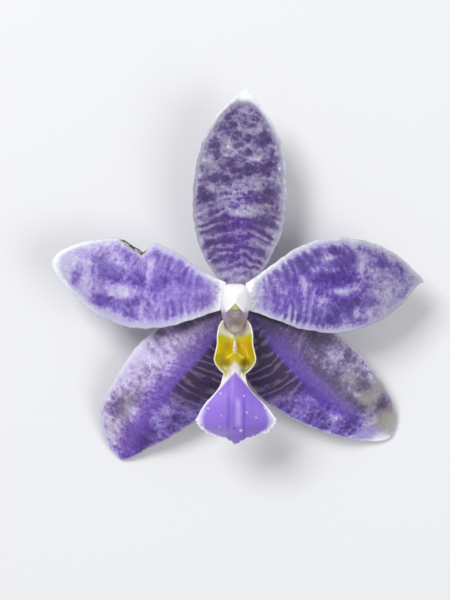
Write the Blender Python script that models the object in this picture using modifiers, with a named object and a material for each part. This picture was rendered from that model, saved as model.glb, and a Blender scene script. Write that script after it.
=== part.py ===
"""A moth orchid flower, picked with its pedicel and lying face up.

Every organ is shaped in the flower's own frame, in millimetres. The origin is the heart of the flower, where
the organs meet. +X points to the right as one looks into its face, +Y along the dorsal sepal, and +Z comes
out of the face. HEART carries that frame to where the flower rests, with its lowest points on z = 0.
"""

import math

import bmesh
import bpy
from mathutils import Matrix, Vector

MM = 0.001
HEART = Vector((-0.1, -3.87, 9.5))  # millimetres
GAP = 0.3  # left between organs that meet

# Three sepals behind, two petals in front. Each runs from its root to its tip. The half-widths to the left
# and right of the midline are read at stations that crowd towards root and tip; the other lists are read at
# evenly spaced stations. shift bends the midline to the left, height lifts it, drop lowers the margins.
TEPAL_THICKNESS = 0.8
TEPAL_ROWS = 20
TEPAL_COLUMNS = 10
TEPALS = {
    "dorsal_sepal": {
        "root": (0.1, 2.65),
        "tip": (1.6, 39.5),
        "left": (2.0, 3.8, 6.6, 8.7, 9.1, 8.1, 5.5, 2.1, 0.5),
        "right": (2.0, 3.7, 6.1, 8.2, 8.5, 7.7, 4.9, 1.8, 0.5),
        "shift": (0.0, 0.0, 0.0, 0.0, 0.0),
        "height": (-0.2, -0.6, -0.1, 1.3, 3.4),
        "drop": (0.0, -0.4, -1.0, -1.0, 0.0),
    },
    "petal_left": {
        "root": (-2.85, 0.6),
        "tip": (-35.0, 7.2),
        "left": (1.6, 3.1, 5.3, 7.8, 8.9, 7.8, 5.0, 2.0, 0.7),
        "right": (1.5, 2.6, 4.0, 6.7, 7.9, 7.0, 4.9, 2.4, 0.9),
        "shift": (0.0, 0.2, 0.3, 0.2, 0.0),
        "height": (1.5, 2.8, 3.0, 2.4, 1.0),
        "drop": (0.0, 0.5, 0.9, 0.7, 0.0),
    },
    "petal_right": {
        "root": (2.1, 0.6),
        "tip": (35.3, 3.6),
        "left": (1.5, 3.0, 5.4, 8.5, 9.8, 8.6, 5.7, 1.9, 0.3),
        "right": (1.6, 3.0, 4.8, 7.2, 8.4, 7.2, 4.1, 1.2, 0.3),
        "shift": (0.0, 0.0, 0.0, 0.0, 0.0),
        "height": (1.5, 2.8, 3.0, 2.3, 0.8),
        "drop": (0.0, 0.5, 0.9, 0.7, 0.0),
    },
    "lateral_sepal_left": {
        "root": (-1.72, -2.02),
        "tip": (-24.9, -31.1),
        "left": (1.6, 3.2, 6.6, 9.0, 8.7, 6.8, 4.6, 2.6, 1.0),
        "right": (1.9, 3.4, 6.4, 8.8, 9.0, 8.3, 6.6, 4.2, 1.8),
        "shift": (0.0, 0.2, -0.5, -0.4, 0.0),
        "height": (-0.2, 0.1, -1.0, -3.9, -8.72),
        "drop": (0.0, 1.9, 2.4, 1.4, 0.0),
    },
    "lateral_sepal_right": {
        "root": (2.05, -1.68),
        "tip": (30.4, -26.5),
        "left": (1.9, 3.4, 6.6, 9.2, 10.0, 9.3, 6.8, 3.5, 1.5),
        "right": (1.6, 3.4, 7.6, 9.4, 8.5, 6.6, 4.5, 2.4, 0.9),
        "shift": (0.0, -1.5, -2.0, -1.6, 0.0),
        "height": (-0.2, 0.1, -1.0, -3.9, -8.72),
        "drop": (0.0, 1.9, 2.4, 1.4, 0.0),
    },
}
BITTEN_TEPAL = "petal_left"  # its upper margin is chewed
BITE_FROM, BITE_DEEPEST, BITE_TO = 0.44, 0.5, 0.65  # shares of its length
BITE_DEPTH = 2.4

# The column and the lip stand a little to the left of the tepals' middle.
LEAN = -0.42

# The lip is one petal cut into three lobes. Each row of points runs from its midline to its right margin,
# and the left half mirrors it. The first rows go from the claw over the hollow base between the raised side
# lobes, with its central keel, and over the callus to the narrow neck.
LIP_THICKNESS = 0.5
LIP_BASE = (
    ((0.0, -6.4, 2.5), (0.9, -6.3, 2.6), (1.8, -5.6, 3.2), (2.2, -5.0, 3.9), (2.4, -4.5, 4.6)),
    ((0.0, -7.0, 2.7), (1.0, -6.9, 2.6), (2.1, -6.3, 3.4), (2.7, -5.8, 4.6), (2.9, -5.4, 5.9)),
    ((0.0, -7.8, 3.3), (1.0, -7.7, 2.7), (2.2, -7.4, 3.4), (2.85, -7.0, 5.0), (3.0, -6.8, 6.4)),
    ((0.0, -8.6, 4.5), (1.0, -8.7, 2.9), (2.2, -8.5, 3.5), (2.85, -8.4, 5.2), (3.0, -8.2, 6.6)),
    ((0.0, -9.7, 6.4), (1.1, -9.9, 4.6), (2.3, -10.0, 3.9), (3.0, -9.9, 5.2), (3.25, -9.8, 6.7)),
    ((0.0, -10.7, 6.5), (1.1, -11.0, 5.6), (2.3, -11.3, 4.5), (3.1, -11.3, 5.2), (3.5, -11.3, 6.6)),
    ((0.0, -12.1, 6.4), (0.9, -12.3, 5.6), (1.9, -12.7, 4.5), (2.5, -12.7, 5.0), (2.8, -12.7, 6.2)),
    ((0.0, -13.4, 6.4), (0.7, -13.5, 6.1), (1.2, -13.6, 5.4), (1.6, -13.6, 5.4), (1.9, -13.6, 6.0)),
    ((0.0, -14.6, 6.8), (0.7, -14.6, 6.5), (1.3, -14.6, 6.0), (1.8, -14.6, 5.7), (2.3, -14.6, 5.7)),
)
# The middle lobe's rows: Y at the midline and at the margin, half-width, Z at the midline and at the margin.
LIP_BLADE = (
    (-16.0, -16.0, 2.7, 7.2, 5.8),
    (-17.5, -17.5, 3.7, 7.4, 5.9),
    (-19.2, -19.2, 5.3, 7.5, 5.8),
    (-21.2, -21.2, 6.9, 7.1, 5.3),
    (-23.2, -22.5, 7.4, 6.5, 4.9),
    (-25.4, -23.6, 6.7, 5.6, 4.5),
    (-27.2, -24.6, 5.6, 4.9, 4.4),
)
LIP_GRID_ROWS = 26
LIP_GRID_COLUMNS = 16

# The column and its foot pass through rings that lean forward more and more: the ring's centre along Y and
# Z, its lean in degrees, its half-depth and half-width, and how pointed its upper side is, from 0 to 1.
COLUMN_RINGS = (
    (0.0, -1.0, 0.0, 2.1, 1.95, 0.0),
    (0.0, 0.4, 0.0, 2.35, 2.05, 0.0),
    (-1.0, 1.8, 8.0, 3.5, 2.05, 0.1),
    (-1.9, 3.3, 18.0, 4.1, 2.0, 0.3),
    (-2.8, 5.0, 30.0, 4.0, 1.95, 0.7),
    (-3.45, 6.4, 39.0, 3.8, 1.85, 1.0),
)
SHOULDER = 0.42  # the share of the upper half-depth above which a pointed ring narrows
RING_SIDES = 28
COLUMN_STEPS = 14

# On the column's sloping end face sit the cap and, under it, the pollen. Places and radii on that face are
# read across, up the slope, and out from it.
CAP_PLACE, CAP_RADII, CAP_THICKNESS = (0.0, 1.75, GAP), (1.45, 1.7, 1.15), 0.22
STIGMA_PLACE, STIGMA_RADII = (0.0, -1.6, 0.3), (1.2, 1.5, 1.1)
POLLEN_PLACE, POLLEN_RADII, POLLEN_SPACING = (0.0, 1.95, 0.58), (0.37, 0.42, 0.24), 0.84
STRAP_PLACE, STRAP_RADII = (0.0, 1.42, 0.48), (0.26, 0.72, 0.13)
DISC_PLACE, DISC_RADII = (0.0, 0.82, 0.46), (0.26, 0.2, 0.12)

# The ribbed ovary behind the flower bends over and narrows into the pedicel: x, y, z and radius.
STALK_ROUTE = (
    (0.0, 0.1, -1.4, 1.75),
    (0.0, 0.3, -3.2, 1.75),
    (0.1, 1.8, -5.3, 1.7),
    (0.2, 4.8, -6.9, 1.65),
    (0.3, 9.4, -7.8, 1.5),
    (0.4, 15.0, -8.15, 1.3),
    (0.5, 21.5, -8.3, 1.2),
    (0.7, 28.5, -8.3, 1.2),
)
STALK_STEPS = 26
RIB_DEPTH = 0.06
RIB_TWIST = 0.9  # radians from end to end

SURFACES = {
    "sepal_tissue": ((0.42, 0.33, 0.62), 0.45),
    "petal_tissue": ((0.45, 0.35, 0.75), 0.45),
    "lip_tissue": ((0.50, 0.34, 0.80), 0.45),
    "column_tissue": ((0.90, 0.87, 0.90), 0.40),
    "cap_tissue": ((0.86, 0.87, 0.74), 0.40),
    "pollen": ((0.85, 0.62, 0.10), 0.35),
    "green_stalk": ((0.33, 0.45, 0.18), 0.45),
}


def clear_scene():
    """Starts from nothing, with one collection for the flower and one for its cutters."""
    for found in list(bpy.data.objects):
        bpy.data.objects.remove(found)
    made = []
    for name in ("moth_orchid_flower", "cutters"):
        collection = bpy.data.collections.new(name)
        bpy.context.scene.collection.children.link(collection)
        made.append(collection)
    return made


def make_material(name):
    """A plain Principled material for one kind of tissue."""
    colour, roughness = SURFACES[name]
    material = bpy.data.materials.new(name)
    material.use_nodes = True
    shader = material.node_tree.nodes["Principled BSDF"]
    shader.inputs["Base Color"].default_value = (*colour, 1.0)
    shader.inputs["Roughness"].default_value = roughness
    return material


def spline(values, share):
    """A smooth curve through evenly spaced numbers or points, read at share, from 0 to 1 (Catmull-Rom)."""
    place = min(max(share, 0.0), 1.0) * (len(values) - 1)
    first = min(int(place), len(values) - 2)
    t = place - first
    b, c = values[first], values[first + 1]
    a = values[first - 1] if first else b
    d = values[first + 2] if first + 2 < len(values) else c
    if isinstance(b, tuple):
        return tuple(spline(parts, share) for parts in zip(*values))
    return b + 0.5 * t * (c - a + t * (2 * a - 5 * b + 4 * c - d + t * (3 * (b - c) + d - a)))


def bite(name, side, along):
    """How far the chewed bite cuts into a margin: steep towards the heart, a long slope towards the tip."""
    if name != BITTEN_TEPAL or side != "right":
        return 0.0
    if along < BITE_DEEPEST:
        return BITE_DEPTH * max(0.0, (along - BITE_FROM) / (BITE_DEEPEST - BITE_FROM))
    return BITE_DEPTH * max(0.0, (BITE_TO - along) / (BITE_TO - BITE_DEEPEST))


def tepal_point(name, turn, across):
    """A point on a tepal's front face. turn runs from 0 at the root to 1 at the tip, and moves slowly near
    both. across runs from -1 at the right margin to 1 at the left."""
    tepal = TEPALS[name]
    along = (1.0 - math.cos(math.pi * turn)) / 2.0
    root = Vector(tepal["root"])
    run = Vector(tepal["tip"]) - root
    to_left = Vector((-run.y, run.x)).normalized()
    side = "left" if across > 0.0 else "right"
    half_width = spline(tepal[side], turn) - bite(name, side, along)
    place = root + along * run + to_left * (spline(tepal["shift"], along) + across * half_width)
    height = spline(tepal["height"], along) - spline(tepal["drop"], along) * across ** 2
    return Vector((place.x, place.y, height))


def lip_rows():
    """The rows of the whole lip: those of its base, then those of its blade at the same shares across."""
    rows = list(LIP_BASE)
    for middle_y, margin_y, half_width, middle_z, margin_z in LIP_BLADE:
        row = []
        for share in (0.0, 0.25, 0.5, 0.75, 1.0):
            y = middle_y + (margin_y - middle_y) * share
            z = middle_z + (margin_z - middle_z) * share ** 1.5
            row.append((half_width * share, y, z))
        rows.append(tuple(row))
    return rows


def lip_point(along, across):
    """A point on the lip's front face, along it from 0 to 1 and across it from -1 to 1."""
    row = tuple(spline(column, along) for column in zip(*lip_rows()))
    x, y, z = spline(row, abs(across))
    return Vector((LEAN + math.copysign(x, across), y, z))


def column_ring(step):
    """One ring of the column, at a share of the way from its base to its end face."""
    y, z, lean, depth, width, pointed = spline(COLUMN_RINGS, step)
    lean = math.radians(lean)
    ring = []
    for side in range(RING_SIDES):
        turn = math.tau * side / RING_SIDES
        up = math.sin(turn)
        arch = math.sqrt(1.0 - up ** 2)
        if up > 0.0:
            arch += (min((1.0 - up) / (1.0 - SHOULDER), 1.0) - arch) * pointed
        x = LEAN + math.copysign(width * arch, math.cos(turn))
        ring.append(Vector((x, y + depth * up * math.cos(lean), z + depth * up * math.sin(lean))))
    return ring


def on_column_end(place):
    """Turns a place across, up and out from the column's sloping end face into the flower's frame."""
    y, z, lean = COLUMN_RINGS[-1][:3]
    across, up, out = place
    lean = math.radians(lean)
    return Vector((
        LEAN + across,
        y + up * math.cos(lean) - out * math.sin(lean),
        z + up * math.sin(lean) + out * math.cos(lean),
    ))


def sheet_of(rows, columns, point):
    """A grid bent into shape by a function of the shares along and across it, as a bmesh in millimetres."""
    sheet = bmesh.new()
    bmesh.ops.create_grid(sheet, x_segments=columns, y_segments=rows, size=1.0)
    for vert in sheet.verts:
        vert.co = point((1.0 + vert.co.y) / 2.0, vert.co.x)
    bmesh.ops.reverse_faces(sheet, faces=sheet.faces)
    return sheet


def loft_of(rings):
    """A closed body through rings of points, ended flat, as a bmesh in millimetres."""
    body = bmesh.new()
    loops = [[body.verts.new(point) for point in ring] for ring in rings]
    count = len(loops[0])
    for low, high in zip(loops, loops[1:]):
        for side in range(count):
            after = (side + 1) % count
            body.faces.new((low[side], low[after], high[after], high[side]))
    body.faces.new(tuple(reversed(loops[0])))
    body.faces.new(loops[-1])
    return body


def ball_on_end(place, radii, segments=16, rings=10):
    """An egg on the column's end face, as a bmesh in millimetres."""
    ball = bmesh.new()
    bmesh.ops.create_uvsphere(ball, u_segments=segments, v_segments=rings, radius=1.0)
    for vert in ball.verts:
        offset = [p + r * c for p, r, c in zip(place, radii, vert.co)]
        vert.co = on_column_end(offset)
    return ball


def add_organ(name, body, material, collection):
    """Carries a bmesh from the flower's frame to its resting place, in metres, as one named object."""
    body.transform(Matrix.Scale(MM, 4) @ Matrix.Translation(HEART))
    mesh = bpy.data.meshes.new(name)
    body.to_mesh(mesh)
    body.free()
    mesh.shade_smooth()
    mesh.materials.append(material)
    organ = bpy.data.objects.new(name, mesh)
    collection.objects.link(organ)
    return organ


def thicken(organ, millimetres):
    """Gives a sheet its thickness, behind its front face."""
    solid = organ.modifiers.new("thickness", "SOLIDIFY")
    solid.thickness = millimetres * MM
    solid.offset = -1.0


def combine(organ, operation, tool):
    """Adds a tool's body to an organ's, or cuts it away."""
    step = organ.modifiers.new(tool.name, "BOOLEAN")
    step.operation = operation
    step.solver = "EXACT"
    step.object = tool
    tool.hide_render = True
    tool.display_type = "WIRE"


def make_tepal(name, material, collection):
    """One sepal or petal."""
    sheet = sheet_of(TEPAL_ROWS, TEPAL_COLUMNS, lambda turn, across: tepal_point(name, turn, across))
    thicken(add_organ(name, sheet, material, collection), TEPAL_THICKNESS)


def make_lip(material, collection):
    """The three-lobed lip, as one sheet."""
    sheet = sheet_of(LIP_GRID_ROWS, LIP_GRID_COLUMNS, lip_point)
    thicken(add_organ("lip", sheet, material, collection), LIP_THICKNESS)


def make_column(material, collection, cutters):
    """The column and its foot, with the stigma hollowed into the lower part of its end face."""
    rings = [column_ring(step / COLUMN_STEPS) for step in range(COLUMN_STEPS + 1)]
    column = add_organ("column", loft_of(rings), material, collection)
    hollow = ball_on_end(STIGMA_PLACE, STIGMA_RADII)
    combine(column, "DIFFERENCE", add_organ("stigma_hollow", hollow, material, cutters))


def make_cap(material, collection):
    """The cap over the pollen: a thin dome, open towards the column."""
    dome = ball_on_end(CAP_PLACE, CAP_RADII, segments=20, rings=12)
    floor = on_column_end(CAP_PLACE)
    out = on_column_end((0.0, 0.0, 1.0)) - on_column_end((0.0, 0.0, 0.0))
    below = [vert for vert in dome.verts if (vert.co - floor).dot(out) < -0.01]
    bmesh.ops.delete(dome, geom=below, context="VERTS")
    thicken(add_organ("anther_cap", dome, material, collection), CAP_THICKNESS)


def make_pollinarium(material, collection, cutters):
    """Two pollen masses on a strap that ends in a sticky disc, joined into one body."""
    body = add_organ("pollinarium", ball_on_end(STRAP_PLACE, STRAP_RADII), material, collection)
    for name, side in (("pollen_left", -0.5), ("pollen_right", 0.5)):
        place = (side * POLLEN_SPACING, POLLEN_PLACE[1], POLLEN_PLACE[2])
        mass = add_organ(name, ball_on_end(place, POLLEN_RADII, 15, 9), material, cutters)
        combine(body, "UNION", mass)
    disc = add_organ("sticky_disc", ball_on_end(DISC_PLACE, DISC_RADII, 13, 7), material, cutters)
    combine(body, "UNION", disc)


def make_stalk(material, collection):
    """The ribbed, slightly twisted ovary and the pedicel it narrows into, cut straight at its end."""
    rings = []
    for step in range(STALK_STEPS + 1):
        share = step / STALK_STEPS
        x, y, z, radius = spline(STALK_ROUTE, share)
        ahead = Vector(spline(STALK_ROUTE, share + 0.01)[:3])
        behind = Vector(spline(STALK_ROUTE, share - 0.01)[:3])
        heading = (ahead - behind).normalized()
        side = heading.cross(Vector((1.0, 0.0, 0.0))).normalized()
        other = heading.cross(side)
        ring = []
        for corner in range(RING_SIDES):
            turn = math.tau * corner / RING_SIDES
            rib = RIB_DEPTH * (1.0 - share) * math.cos(6.0 * (turn + RIB_TWIST * share))
            reach = radius * (1.0 - RIB_DEPTH * (1.0 - share) + rib)
            offset = other * math.cos(turn) + side * math.sin(turn)
            ring.append(Vector((x, y, z)) + offset * reach)
        rings.append(ring)
    body = loft_of(rings)
    bmesh.ops.recalc_face_normals(body, faces=body.faces)
    add_organ("pedicel", body, material, collection)


def main():
    flower, cutters = clear_scene()
    materials = {name: make_material(name) for name in SURFACES}
    for name in TEPALS:
        tissue = "petal_tissue" if name.startswith("petal") else "sepal_tissue"
        make_tepal(name, materials[tissue], flower)
    make_lip(materials["lip_tissue"], flower)
    make_column(materials["column_tissue"], flower, cutters)
    make_cap(materials["cap_tissue"], flower)
    make_pollinarium(materials["pollen"], flower, cutters)
    make_stalk(materials["green_stalk"], flower)


main()
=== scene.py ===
# %% [markdown]
# # A moth orchid flower, lying face up
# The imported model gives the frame: each organ's place and reach. This lesson grows a fine skin around that
# frame, one organ at a time, and paints each one with nodes. Everything is shaped in the flower's own frame,
# in millimetres. Its origin is the heart, where the organs meet, +X points to the right as one looks into
# the flower's face, +Y runs along the dorsal sepal and +Z comes out of the face.

# %% The frame
import math

import bmesh
import bpy
from mathutils import Matrix, Vector, noise


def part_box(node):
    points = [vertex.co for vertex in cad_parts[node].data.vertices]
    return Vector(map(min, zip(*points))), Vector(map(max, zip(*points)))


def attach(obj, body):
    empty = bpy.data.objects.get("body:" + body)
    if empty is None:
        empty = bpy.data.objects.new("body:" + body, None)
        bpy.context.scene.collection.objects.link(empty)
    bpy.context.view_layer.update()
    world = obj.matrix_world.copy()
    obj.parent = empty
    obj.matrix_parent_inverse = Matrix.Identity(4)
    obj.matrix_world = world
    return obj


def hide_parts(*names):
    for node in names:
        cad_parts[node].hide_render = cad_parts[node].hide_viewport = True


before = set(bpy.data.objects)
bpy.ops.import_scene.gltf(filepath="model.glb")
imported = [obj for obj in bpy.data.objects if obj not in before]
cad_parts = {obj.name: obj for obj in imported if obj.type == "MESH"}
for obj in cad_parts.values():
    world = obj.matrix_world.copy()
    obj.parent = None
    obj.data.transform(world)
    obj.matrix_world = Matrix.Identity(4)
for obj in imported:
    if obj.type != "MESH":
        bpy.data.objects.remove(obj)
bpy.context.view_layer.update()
MM = 0.001
LEAN = -0.42  # the lip and the column stand this far to the left of the heart
LIP_REACH = 27.2  # the lip's tip lies this far below it
COLUMN_FLOOR = 1.0  # the column starts this far behind it
lip_low, lip_high = (Vector(corner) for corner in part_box("lip"))
heart = Vector((
    (lip_low.x + lip_high.x) / 2 - LEAN * MM,
    lip_low.y + LIP_REACH * MM,
    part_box("column")[0][2] + COLUMN_FLOOR * MM,
))
print("heart of the flower, in mm:", [round(part / MM, 2) for part in heart])

# %% [markdown]
# ## The camera
# The flower is seen straight from its face, from a quarter of a metre away, so the organs that come forward
# look a little larger. A camera looks down its own -Z axis with +Y up, so over a flower that lies face up it
# needs no rotation at all.

# %% The camera
CAMERA_DISTANCE = 250.0
VIEW_HEIGHT = 114.0  # millimetres of the heart's plane that fill the view's height
VIEW_SHIFT = -2.28  # the camera stands this far to the left, so the flower is right of the view's middle


def add_object(name, data):
    """A new object in the scene."""
    made = bpy.data.objects.new(name, data)
    bpy.context.scene.collection.objects.link(made)
    return made


eye = add_object("eye", bpy.data.cameras.new("eye"))
bpy.context.scene.camera = eye
eye.data.sensor_fit = "VERTICAL"
eye.data.sensor_height = 24.0
eye.data.lens = eye.data.sensor_height * CAMERA_DISTANCE / VIEW_HEIGHT
eye.data.clip_start = 0.01
eye.location = heart + Vector((VIEW_SHIFT, 0.0, CAMERA_DISTANCE)) * MM
print("lens:", round(eye.data.lens, 1), "mm")

# %% [markdown]
# ## Light and ground
# A large soft lamp stands to the upper left, a weaker one to the right, and the world fills the shadows.
# Together they light a pale surface to just under white, so a colour looks about as it is written.

# %% Light and ground
LAMPS = {
    "key_lamp": {"place": (-320, 360, 620), "size": 320, "watts": 4.2},
    "fill_lamp": {"place": (420, -160, 520), "size": 420, "watts": 1.6},
}
WORLD_STRENGTH = 0.42


def add_lamp(name, place, size, watts):
    """A square area lamp that points at the heart of the flower."""
    lamp = add_object(name, bpy.data.lights.new(name, "AREA"))
    lamp.data.size = size * MM
    lamp.data.energy = watts
    lamp.location = heart + Vector(place) * MM
    lamp.rotation_euler = (-Vector(place)).to_track_quat("-Z", "Y").to_euler()


for name, choice in LAMPS.items():
    add_lamp(name, **choice)
world = bpy.data.worlds.new("studio")
world.use_nodes = True
sky = world.node_tree.nodes["Background"].inputs
sky["Color"].default_value = (1.0, 1.0, 1.0, 1.0)
sky["Strength"].default_value = WORLD_STRENGTH
bpy.context.scene.world = world
bpy.context.scene.view_settings.view_transform = "Standard"
print("lamps:", ", ".join(LAMPS))

# %% [markdown]
# ## Writing shader maths as Python
# A finish is a graph of nodes. Wiring each Math node by hand hides the idea, so a Wire wraps a socket and
# answers to + - * / ** and abs, and each of them adds the Math node that works it out. Every other node comes
# from Finish.node: its type, its settings, then the values or wires of its sockets.

# %% Wires and finishes
def operator(operation, swapped=False):
    """A method that adds the Math node of one operation on two values."""
    def apply(self, other):
        return self.finish.maths(operation, *((other, self) if swapped else (self, other)))

    return apply


class Wire:
    """A socket that can be used in sums."""

    def __init__(self, finish, socket):
        self.finish = finish
        self.socket = socket

    def __abs__(self):
        return self.finish.maths("ABSOLUTE", self)

    __add__ = __radd__ = operator("ADD")
    __sub__ = operator("SUBTRACT")
    __rsub__ = operator("SUBTRACT", swapped=True)
    __mul__ = operator("MULTIPLY")
    __truediv__ = operator("DIVIDE")
    __pow__ = operator("POWER")


class Finish:
    """A material whose nodes are added by name, by sum, and by a few steps that flowers need often."""

    def __init__(self, name, **constants):
        self.material = bpy.data.materials.new(name)
        self.material.use_nodes = True
        self.tree = self.material.node_tree
        self.shader = self.tree.nodes["Principled BSDF"]
        for socket, value in constants.items():
            self.shader.inputs[socket.replace("_", " ").title()].default_value = value

    def node(self, kind, settings, inputs, output=0):
        """Adds one node and gives its output as a wire."""
        made = self.tree.nodes.new(kind)
        for key, value in settings.items():
            if key == "stops":
                while len(made.color_ramp.elements) < len(value):
                    made.color_ramp.elements.new(1.0)
                for element, (position, colour) in zip(made.color_ramp.elements, value):
                    element.position = position
                    element.color = (*colour, 1.0)
            else:
                setattr(made, key, value)
        for key, value in inputs.items():
            self.plug(made.inputs[key], value)
        return Wire(self, made.outputs[output])

    def plug(self, socket, value):
        """Gives a socket a wire or a value."""
        if isinstance(value, Wire):
            self.tree.links.new(value.socket, socket)
        else:
            socket.default_value = value

    def stored(self, name):
        """The three numbers that the mesh stores under this name."""
        vector = self.node("ShaderNodeAttribute", {"attribute_name": name}, {}, "Vector")
        split = self.node("ShaderNodeSeparateXYZ", {}, {0: vector}).socket.node
        return [Wire(self, output) for output in split.outputs]

    def behind(self):
        """1 on a sheet's back, 0 on its front."""
        return self.node("ShaderNodeAttribute", {"attribute_name": "back"}, {}, "Fac")

    def maths(self, operation, first, second=0.0):
        return self.node("ShaderNodeMath", {"operation": operation}, {0: first, 1: second})

    def step(self, value, low, high, start=0.0, end=1.0):
        """A smooth step from start to end as the value goes from low to high."""
        return self.node(
            "ShaderNodeMapRange",
            {"interpolation_type": "SMOOTHSTEP"},
            {"Value": value, "From Min": low, "From Max": high, "To Min": start, "To Max": end},
        )

    def fade(self, value, low, high, start=1.0):
        """A smooth step down from start to nothing."""
        return self.step(value, low, high, start, 0.0)

    def band(self, value, rise, top, fall, end):
        """1 over a stretch with soft ends: up from rise to top, down again from fall to end."""
        return self.step(value, rise, top) * self.fade(value, fall, end)

    def blend(self, factor, *colours):
        """The second colour over the first. Each is a wire, or red, green and blue from 0 to 255."""
        first, second = (tint(*colour) if isinstance(colour, tuple) else colour for colour in colours)
        return self.node("ShaderNodeMix", {"data_type": "RGBA"}, {0: factor, 6: first, 7: second}, 2)

    def point(self, x, y, z=0.0):
        return self.node("ShaderNodeCombineXYZ", {}, {0: x, 1: y, 2: z})

    def cloud(self, place, scale, detail=2.0, roughness=0.5, distortion=0.0):
        """Soft noise from 0 to 1."""
        inputs = {"Vector": place, "Scale": scale, "Detail": detail, "Roughness": roughness}
        return self.node("ShaderNodeTexNoise", {}, {**inputs, "Distortion": distortion})

    def finish(self, colour, height=None, strength=0.3, distance=0.1):
        """Joins the colour and a bump to the shader, and gives the material."""
        self.plug(self.shader.inputs["Base Color"], colour)
        if height is not None:
            inputs = {"Height": height, "Strength": strength, "Distance": distance * MM}
            self.plug(self.shader.inputs["Normal"], self.node("ShaderNodeBump", {}, inputs))
        return self.material


def tint(red, green, blue):
    """A colour as a screen shows it, from 0 to 255, as the linear light that shaders work with."""
    linear = []
    for part in (red, green, blue):
        part = part / 255.0
        linear.append(part / 12.92 if part <= 0.04045 else ((part + 0.055) / 1.055) ** 2.4)
    return (*linear, 1.0)


print("white is", [round(part, 2) for part in tint(255, 255, 255)])

# %% [markdown]
# The floor is a plain pale sheet under the flower. It keeps the flower's soft shadow.

# %% The floor
def make_floor(reach=3.0):
    """A wide square on z = 0."""
    body = bmesh.new()
    bmesh.ops.create_grid(body, x_segments=1, y_segments=1, size=reach)
    mesh = bpy.data.meshes.new("floor")
    body.to_mesh(mesh)
    body.free()
    floor = add_object("floor", mesh)
    paper = Finish("pale_paper", roughness=0.9)
    mesh.materials.append(paper.finish(tint(226, 227, 230)))


make_floor()

# %% [markdown]
# ## Curves read from a few numbers
# An organ's outline and relief follow short lists of numbers, a handful of measurements along its length.
# A Catmull-Rom curve passes through each of them smoothly, and the same function works on numbers and points.

# %% Reading smooth curves
def spline(values, share):
    """A smooth curve through evenly spaced numbers or points, read at share, from 0 to 1."""
    place = min(max(share, 0.0), 1.0) * (len(values) - 1)
    first = min(int(place), len(values) - 2)
    t = place - first
    b, c = values[first], values[first + 1]
    a = values[first - 1] if first else b
    d = values[first + 2] if first + 2 < len(values) else c
    if isinstance(b, tuple):
        return tuple(spline(parts, share) for parts in zip(*values))
    return b + 0.5 * t * (c - a + t * (2 * a - 5 * b + 4 * c - d + t * (3 * (b - c) + d - a)))


def ease(value, low, high):
    """A smooth step from 0 to 1 as the value goes from low to high."""
    share = min(max((value - low) / (high - low), 0.0), 1.0)
    return share * share * (3.0 - 2.0 * share)


def between(value, rise, top, fall, end):
    """1 over a stretch with soft ends: up from rise to top, down again from fall to end."""
    return ease(value, rise, top) * (1.0 - ease(value, fall, end))


def hump(distance, width):
    """A soft bump, 1 at no distance."""
    return math.exp(-((distance / width) ** 2))


def add_piece(name, body, material, node):
    """Makes a bmesh in the flower's frame into a smooth piece of the scene that stands for a CAD node."""
    body.transform(Matrix.Translation(heart) @ Matrix.Scale(MM, 4))
    mesh = bpy.data.meshes.new(name)
    body.to_mesh(mesh)
    body.free()
    mesh.shade_smooth()
    mesh.materials.append(material)
    piece = add_object(name, mesh)
    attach(piece, "root")
    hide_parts(node)
    print(name, len(mesh.polygons), "faces")


print("halfway through 0, 1, 4:", spline((0.0, 1.0, 4.0), 0.5))

# %% [markdown]
# ## Sepals and petals
# Three sepals stand behind and two petals in front. Each is one fleshy sheet, thickest along its middle,
# with a rounded margin. It could be a grid with Solidify, but that gives a square edge, so here a row is a
# closed ring of points that runs over the front, round the margin and back behind. The rings crowd towards
# root and tip, and the points towards the margins, which is where a leaf's outline turns fastest.
#
# The half-widths to the left and right of the midline are read at stations that crowd in the same way, and
# the other lists at evenly spaced ones. shift bends the midline to the left, height lifts it, drop lowers
# the margins, and fold says how far the sheet is creased along its midline instead of bowed.

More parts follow.
